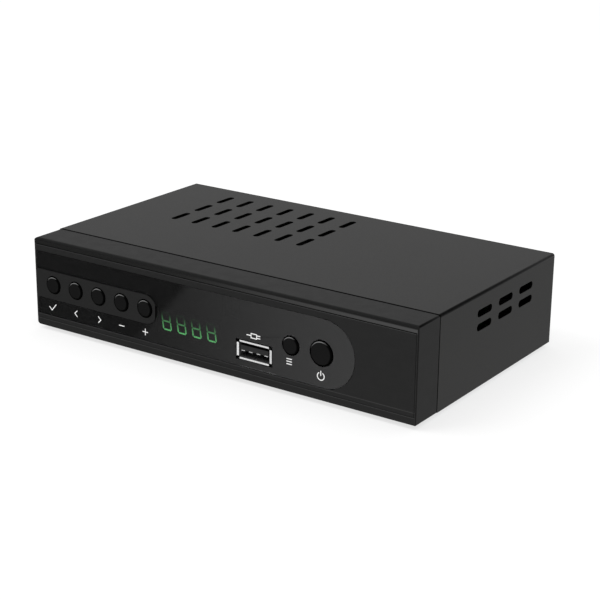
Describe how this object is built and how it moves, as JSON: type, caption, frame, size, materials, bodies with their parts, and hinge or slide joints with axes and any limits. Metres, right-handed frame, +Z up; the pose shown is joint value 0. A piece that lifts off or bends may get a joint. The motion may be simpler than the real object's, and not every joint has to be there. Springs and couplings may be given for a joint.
{
  "type": "digital television recorder",
  "caption": "Compact set-top recorder: bent steel case on a plastic fascia with push keys, a smoked display window, a front USB socket and rear sockets.",
  "frame": {"origin": "centre of the base rectangle, on the plane that the rubber feet stand on", "axes": "+X to the right of someone facing the front, +Y from the front to the back, +Z up; the fascia faces -Y"},
  "size_m": [0.1688, 0.1066, 0.0364],
  "materials": {
    "cover_paint": "fine satin grey powder coat on bent sheet steel",
    "chassis_steel": "bare zinc-plated sheet, faint rolling grain",
    "fascia_plastic": "satin black-grey moulded plastic with fine horizontal lines on the front",
    "window_plastic": "smoked clear acrylic, polished",
    "key_plastic": "semi-matt black moulding with a polished edge",
    "plunger_plastic": "moulded nylon",
    "switch_plastic": "moulded, matt",
    "switch_steel": "thin plated plate",
    "board_resin": "green solder mask over copper tracks",
    "plated_screw": "bright zinc plate",
    "display_plastic": "black filled epoxy face",
    "segment_lens": "diffused green light guide",
    "infrared_plastic": "infrared-pass epoxy, nearly black",
    "socket_steel": "nickel plate",
    "socket_plastic": "black moulded insulator",
    "contact_gold": "thin gold flash",
    "pin_steel": "nickel plate",
    "standoff_brass": "turned",
    "chip_epoxy": "moulded epoxy, matt",
    "thermal_rubber": "soft grey-blue silicone",
    "sink_aluminium": "extruded, clear",
    "capacitor_sleeve": "shrink sleeve with a pale stripe",
    "ferrite": "pressed ferrite, matt",
    "crystal_steel": "drawn can",
    "tuner_tin": "tin-plated sheet",
    "insulator_plastic": "off-white moulding",
    "yellow_plastic": "yellow moulding",
    "white_plastic": "white moulding",
    "red_plastic": "red moulding",
    "ribbon_plastic": "ribbed flat cable",
    "header_plastic": "cream moulding",
    "black_screw": "black oxide",
    "foot_rubber": "moulded, matt",
    "label_film": "blank silver-grey film"
  },
  "bodies": {
    "case": {"top_cover": "cover_paint", "bottom_chassis": "chassis_steel", "front_fascia": "fascia_plastic", "display_window": "window_plastic", "switch_bodies": "switch_plastic", "switch_plates": "switch_steel", "front_board": "board_resin", "main_board": "board_resin", "front_board_screws": "plated_screw", "board_screws": "plated_screw", "fascia_screws": "plated_screw", "display_module": "display_plastic", "display_segments": "segment_lens", "infrared_receiver": "infrared_plastic", "usb_shell": "socket_steel", "usb_contacts": "socket_steel", "hdmi_shell": "socket_steel", "av_jack_barrels": "socket_steel", "aerial_in_sleeve": "socket_steel", "loop_out_sleeve": "socket_steel", "usb_tongue": "socket_plastic", "hdmi_tongue": "socket_plastic", "av_jack_block": "socket_plastic", "dc_jack_body": "socket_plastic", "aerial_in_contact": "contact_gold", "loop_out_pin": "contact_gold", "dc_jack_pin": "pin_steel", "board_standoffs": "standoff_brass", "processor": "chip_epoxy", "memory_chips": "chip_epoxy", "thermal_pad": "thermal_rubber", "heat_sink": "sink_aluminium", "capacitors": "capacitor_sleeve", "inductors": "ferrite", "crystal": "crystal_steel", "tuner_can": "tuner_tin", "aerial_in_insulator": "insulator_plastic", "loop_out_insulator": "insulator_plastic", "video_insert": "yellow_plastic", "left_audio_insert": "white_plastic", "right_audio_insert": "red_plastic", "ribbon_cable": "ribbon_plastic", "ribbon_headers": "header_plastic", "cover_screws": "black_screw", "rubber_feet": "foot_rubber", "rating_label": "label_film"},
    "ok_key": {"ok_key": "key_plastic", "ok_plunger": "plunger_plastic"},
    "left_key": {"left_key": "key_plastic", "left_plunger": "plunger_plastic"},
    "right_key": {"right_key": "key_plastic", "right_plunger": "plunger_plastic"},
    "minus_key": {"minus_key": "key_plastic", "minus_plunger": "plunger_plastic"},
    "plus_key": {"plus_key": "key_plastic", "plus_plunger": "plunger_plastic"},
    "menu_key": {"menu_key": "key_plastic", "menu_plunger": "plunger_plastic"},
    "power_key": {"power_key": "key_plastic", "power_plunger": "plunger_plastic"}
  },
  "joints": [
    {"name": "ok_press", "type": "slide", "parent": "case", "child": "ok_key", "axis": [0, 1, 0], "range_m": [0, 0.0005], "stiffness_N_per_m": 2400},
    {"name": "left_press", "type": "slide", "parent": "case", "child": "left_key", "axis": [0, 1, 0], "range_m": [0, 0.0005], "stiffness_N_per_m": 2400},
    {"name": "right_press", "type": "slide", "parent": "case", "child": "right_key", "axis": [0, 1, 0], "range_m": [0, 0.0005], "stiffness_N_per_m": 2400},
    {"name": "minus_press", "type": "slide", "parent": "case", "child": "minus_key", "axis": [0, 1, 0], "range_m": [0, 0.0005], "stiffness_N_per_m": 2400},
    {"name": "plus_press", "type": "slide", "parent": "case", "child": "plus_key", "axis": [0, 1, 0], "range_m": [0, 0.0005], "stiffness_N_per_m": 2400},
    {"name": "menu_press", "type": "slide", "parent": "case", "child": "menu_key", "axis": [0, 1, 0], "range_m": [0, 0.0005], "stiffness_N_per_m": 2400},
    {"name": "power_press", "type": "slide", "parent": "case", "child": "power_key", "axis": [0, 1, 0], "range_m": [0, 0.0005], "stiffness_N_per_m": 2400}
  ]
}
